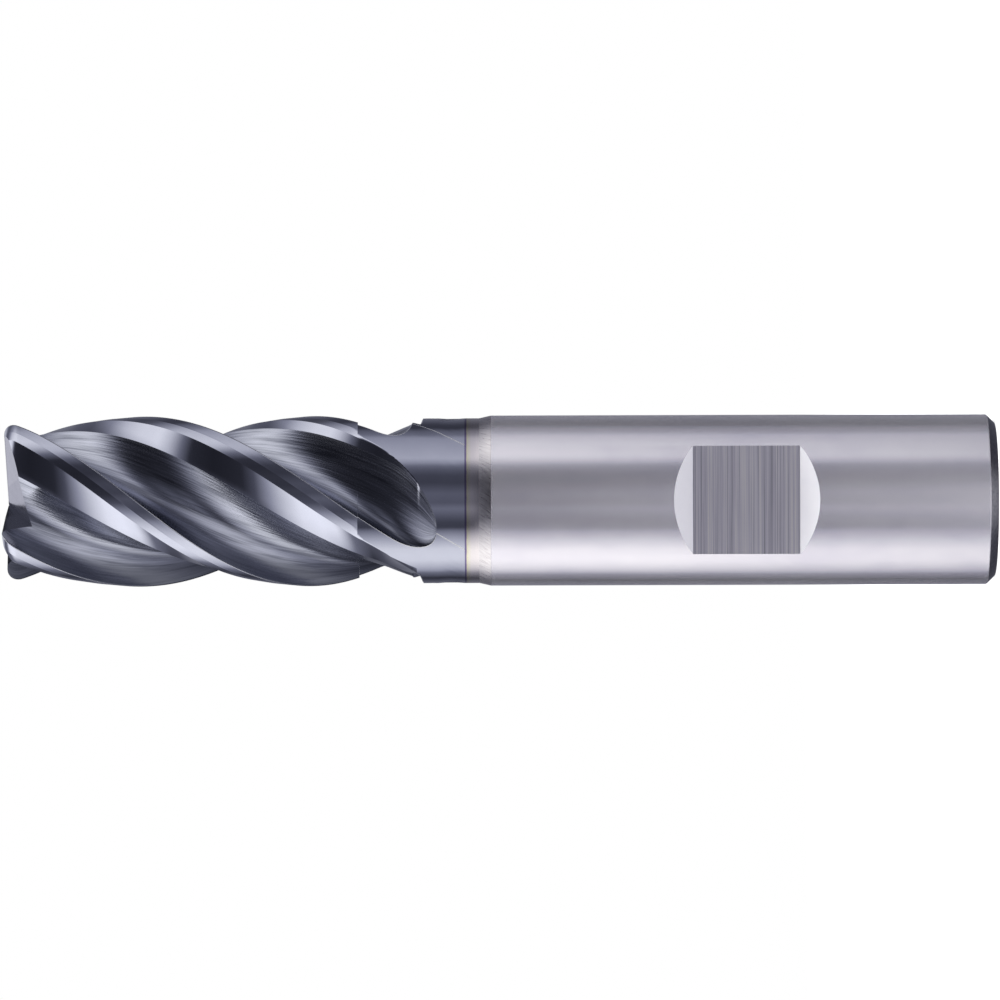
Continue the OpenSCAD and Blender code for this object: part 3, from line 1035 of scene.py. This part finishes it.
# The chamfer and end face take the darker material with painted shade
for face in shank.data.polygons:
    if face.center.z / MM < CHAMFER - 3 * BORDER:
        face.material_index = SHANK_END
carve(shank, flat_cutter(), FLAT)
for face in shank.data.polygons:
    if face.material_index == FLAT and abs(face.normal.z) > RAMP_LEAN:
        face.material_index = RAMP
smooth_turned(shank)
stand_for(shank, "ground_carbide", "shank_front", "clamping_section", "shank_base")


# ------------------------------------------------------------------ stage, light and camera


def studio_color(level):
    """A light level with the studio's tint: neutral when bright, bluish when dark."""
    dark = max(0, 1 - level) ** 1.5
    return level * (1 - 0.05 * dark), level * (1 - 0.02 * dark), level * (1 + 0.28 * dark)


# Light level by direction around the tool: (degrees from the camera's side towards -X, level),
# for directions well below, near and well above the horizontal.
LOW = [
    (-180, 0.15), (-150, 0.12), (-110, 0.06), (-75, 0.08), (-58, 0.12), (-45, 0.26),
    (-20, 0.58), (0, 0.7), (30, 0.68), (45, 0.56), (60, 0.42), (80, 0.28), (100, 0.18),
    (130, 0.1), (160, 0.1), (180, 0.15),
]
MIDDLE = [
    (-180, 0.2), (-150, 0.12), (-134, 0.06), (-124, 0.05), (-116, 0.14), (-106, 0.21),
    (-99, 0.38), (-90, 0.43), (-62, 0.58), (-55, 0.4), (-50, 0.2), (-44, 0.13), (-36, 0.08),
    (-25, 0.07), (-10, 0.15), (3, 0.13), (11, 0.22), (16, 0.18), (23, 0.12), (30, 0.075),
    (38, 0.065), (43, 0.24), (57, 0.6), (72, 0.98), (84, 1.03), (92, 1.0), (107, 0.68),
    (114, 0.5), (121, 0.22), (138, 0.04), (152, 0.1), (180, 0.2),
]
HIGH = [
    (-180, 0.66), (-165, 0.55), (-150, 0.15), (-135, 0.15), (-118, 0.35), (-105, 0.72),
    (-88, 1.0), (-70, 1.05), (-60, 0.75), (-48, 0.2), (-38, 0.03), (-15, 0.02), (15, 0.03),
    (28, 0.1), (42, 0.4), (58, 0.85), (74, 1.2), (92, 1.3), (108, 1.2), (116, 0.75),
    (123, 0.22), (148, 0.12), (163, 0.6), (180, 0.66),
]
# Elevations, in degrees, over which one list or level gives way to the next, going up
NADIR_TO_LOW, LOW_TO_MIDDLE = (-88, -66), (-24, -7)
MIDDLE_TO_HIGH, HIGH_TO_ZENITH = (6, 22), (58, 80)
NADIR, ZENITH = 0.62, 1.15


def studio_world():
    """Soft studio light all round, and plain white where the camera sees past the object."""
    world = bpy.data.worlds.new("studio")
    world.use_nodes = True
    bpy.context.scene.world = world
    n = Nodes(world.node_tree)
    direction = n.add("ShaderNodeTexCoord").outputs["Generated"]
    toward = n.add("ShaderNodeSeparateXYZ", {0: direction}).outputs
    turn = n.math("ARCTAN2", n.math("MULTIPLY", toward[0], -1), n.math("MULTIPLY", toward[1], -1))
    factor = n.linear(turn, gain=1 / (2 * math.pi), base=0.5)
    low, middle, high = [n.ramp(factor, [((a + 180) / 360, studio_color(v)) for a, v in stops])
                         for stops in (LOW, MIDDLE, HIGH)]
    lift = n.linear(toward[2], gain=0.5, base=0.5)

    def rising(span):
        """From 0 to 1 as the direction climbs over this span of elevations."""
        stops = [(1 + math.sin(math.radians(elevation))) / 2 for elevation in span]
        return n.ramp(lift, [(stop, (k, k, k)) for k, stop in enumerate(stops)])

    light = n.mix_color(rising(LOW_TO_MIDDLE), low, middle)
    light = n.mix_color(rising(MIDDLE_TO_HIGH), light, high)
    light = n.mix_color(rising(HIGH_TO_ZENITH), light, studio_color(ZENITH))
    light = n.mix_color(rising(NADIR_TO_LOW), studio_color(NADIR), light)
    seen = n.add("ShaderNodeLightPath").outputs["Is Camera Ray"]
    color = n.mix_color(seen, light, (1.0, 1.0, 1.0))
    background = n.add("ShaderNodeBackground", {"Color": color})
    output = n.add("ShaderNodeOutputWorld")
    n.tree.links.new(background.outputs[0], output.inputs[0])


FLOOR_RADIUS = 0.5
FLOOR_FADE = 0.35, 0.9


def floor_disc():
    """A pale round floor under the tool that fades out at its rim."""
    mesh = bmesh.new()
    bmesh.ops.create_circle(mesh, cap_ends=True, radius=FLOOR_RADIUS, segments=96)
    data = bpy.data.meshes.new("floor")
    mesh.to_mesh(data)
    mesh.free()
    material = bpy.data.materials.new("floor")
    material.use_nodes = True
    n = Nodes(material.node_tree)
    out = n.add("ShaderNodeVectorMath", {0: n.place()}, operation="LENGTH").outputs["Value"]
    full, gone = FLOOR_FADE
    fade = n.ramp(n.math("DIVIDE", out, FLOOR_RADIUS),
                  [(0.0, (0, 0, 0)), (full, (0, 0, 0)), (gone, (1, 1, 1))])
    shader = n.add("ShaderNodeBsdfPrincipled", {
        "Base Color": (0.93, 0.93, 0.93, 1), "Roughness": 0.8,
        "Emission Color": (1, 1, 1, 1), "Emission Strength": 0.8,
    })
    clear = n.add("ShaderNodeBsdfTransparent")
    mixed = n.add("ShaderNodeMixShader", {0: fade, 1: shader.outputs[0], 2: clear.outputs[0]})
    output = n.add("ShaderNodeOutputMaterial")
    n.tree.links.new(mixed.outputs[0], output.inputs[0])
    floor = new_object("floor", data, [material])
    floor.visible_glossy = False


def overhead_light():
    """A large soft lamp above and in front, which doesn't show in the metal."""
    lamp = bpy.data.lights.new("overhead", "AREA")
    lamp.shape = "DISK"
    lamp.size = 0.7
    lamp.energy = 9
    light = bpy.data.objects.new("overhead", lamp)
    light.location = (0.15, -0.25, 0.8)
    light.rotation_euler = (-light.location).to_track_quat("-Z", "Y").to_euler()
    light.visible_glossy = False
    bpy.context.scene.collection.objects.link(light)


# Metres, apart from the sensor's millimetres and the roll in radians
CAMERA_DISTANCE = 0.72
CAMERA_X = 0.00005
FRAME_WIDTH = 0.09409
SENSOR = 36
ROLL = 0.003


def studio_camera():
    """Camera square to the tool's axis on the clamping flat's side, with the tip on the left."""
    lens = bpy.data.cameras.new("camera")
    lens.sensor_width = SENSOR
    lens.lens = SENSOR * CAMERA_DISTANCE / FRAME_WIDTH
    camera = bpy.data.objects.new("camera", lens)
    bpy.context.scene.collection.objects.link(camera)
    right = Vector((-math.sin(ROLL), 0, -math.cos(ROLL)))
    up = Vector((math.cos(ROLL), 0, -math.sin(ROLL)))
    back = right.cross(up)
    rotation = Matrix((right, up, back)).transposed()
    place = Matrix.Translation((CAMERA_X, -CAMERA_DISTANCE, TIP_Z * MM / 2))
    camera.matrix_world = place @ rotation.to_4x4()
    bpy.context.scene.camera = camera


studio_world()
floor_disc()
overhead_light()
studio_camera()
bpy.context.scene.view_settings.view_transform = "Standard"
